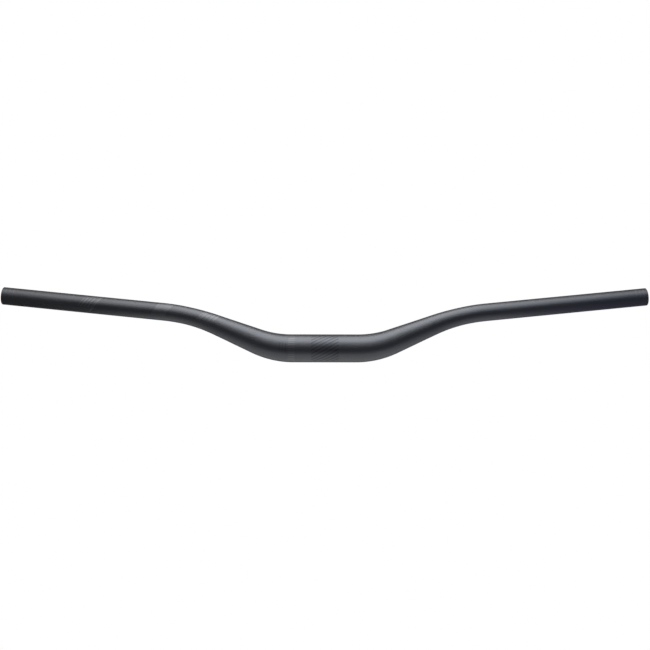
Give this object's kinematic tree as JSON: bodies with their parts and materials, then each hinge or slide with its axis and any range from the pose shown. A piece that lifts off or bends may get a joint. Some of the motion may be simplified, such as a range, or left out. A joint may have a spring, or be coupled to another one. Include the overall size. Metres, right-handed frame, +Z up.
{
  "type": "riser handlebar",
  "caption": "Riser handlebar for a mountain bike: hollow matte-black aluminium tube, wide at the stem clamp, rising through smooth tapered bends to slim, swept-back grip ends.",
  "frame": {"origin": "middle of the stem clamp, on the tube's axis", "axes": "+X to the front of the bike, +Y to the rider's left along the clamp's axis, +Z up"},
  "size_m": [0.0712, 0.82, 0.0911],
  "materials": {
    "black_anodised_aluminium": "satin"
  },
  "bodies": {
    "root": {"handlebar": "black_anodised_aluminium"}
  },
  "joints": []
}
